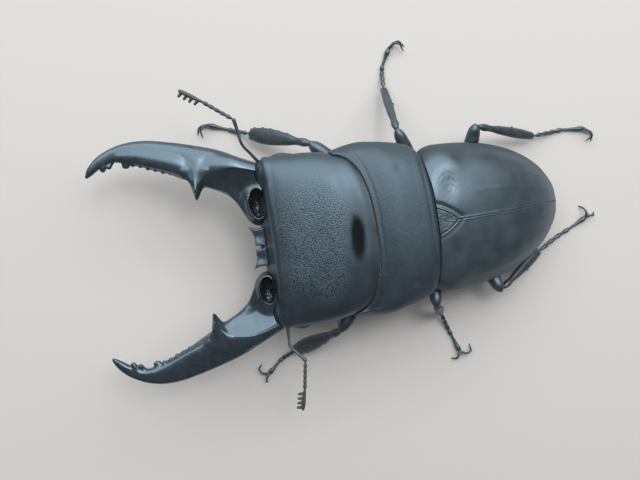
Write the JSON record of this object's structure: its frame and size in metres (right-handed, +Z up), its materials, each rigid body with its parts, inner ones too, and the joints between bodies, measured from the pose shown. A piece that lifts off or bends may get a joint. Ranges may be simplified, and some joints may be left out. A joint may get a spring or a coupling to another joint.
{
  "type": "stag beetle",
  "caption": "Male giant stag beetle at life size, standing with its toothed jaws wide open.",
  "frame": {"origin": "middle of the footprint's bounding box, on the floor that the feet stand on", "axes": "+Z up; the head and jaws point to -Y and the tail to +Y; the beetle's right side is -X and its left side +X"},
  "size_m": [0.0676, 0.103, 0.0201],
  "materials": {
    "satin_shell": "satin blue-black chitin with fine granules",
    "glossy_shell": "smooth blue-black chitin, soft gloss",
    "belly_shell": "black chitin with fine pits",
    "limb_shell": "glossy brown-black chitin",
    "eye": "polished dark brown, finely faceted"
  },
  "bodies": {
    "root": {"abdomen": "belly_shell", "antenna_left_club": "limb_shell", "antenna_left_funicle": "limb_shell", "antenna_left_scape": "limb_shell", "antenna_right_club": "limb_shell", "antenna_right_funicle": "limb_shell", "antenna_right_scape": "limb_shell", "clypeus": "satin_shell", "elytron_left": "glossy_shell", "elytron_right": "glossy_shell", "eye_left": "eye", "eye_right": "eye", "head": "satin_shell", "leg_fore_left_claws": "limb_shell", "leg_fore_left_coxa": "limb_shell", "leg_fore_left_femur": "limb_shell", "leg_fore_left_tarsus": "limb_shell", "leg_fore_left_tibia": "limb_shell", "leg_fore_right_claws": "limb_shell", "leg_fore_right_coxa": "limb_shell", "leg_fore_right_femur": "limb_shell", "leg_fore_right_tarsus": "limb_shell", "leg_fore_right_tibia": "limb_shell", "leg_hind_left_claws": "limb_shell", "leg_hind_left_coxa": "limb_shell", "leg_hind_left_femur": "limb_shell", "leg_hind_left_tarsus": "limb_shell", "leg_hind_left_tibia": "limb_shell", "leg_hind_right_claws": "limb_shell", "leg_hind_right_coxa": "limb_shell", "leg_hind_right_femur": "limb_shell", "leg_hind_right_tarsus": "limb_shell", "leg_hind_right_tibia": "limb_shell", "leg_mid_left_claws": "limb_shell", "leg_mid_left_coxa": "limb_shell", "leg_mid_left_femur": "limb_shell", "leg_mid_left_tarsus": "limb_shell", "leg_mid_left_tibia": "limb_shell", "leg_mid_right_claws": "limb_shell", "leg_mid_right_coxa": "limb_shell", "leg_mid_right_femur": "limb_shell", "leg_mid_right_tarsus": "limb_shell", "leg_mid_right_tibia": "limb_shell", "mandible_left": "glossy_shell", "mandible_right": "glossy_shell", "mentum": "belly_shell", "palp_left": "limb_shell", "palp_right": "limb_shell", "prothorax": "satin_shell", "scutellum": "glossy_shell", "thorax": "belly_shell"}
  },
  "joints": []
}
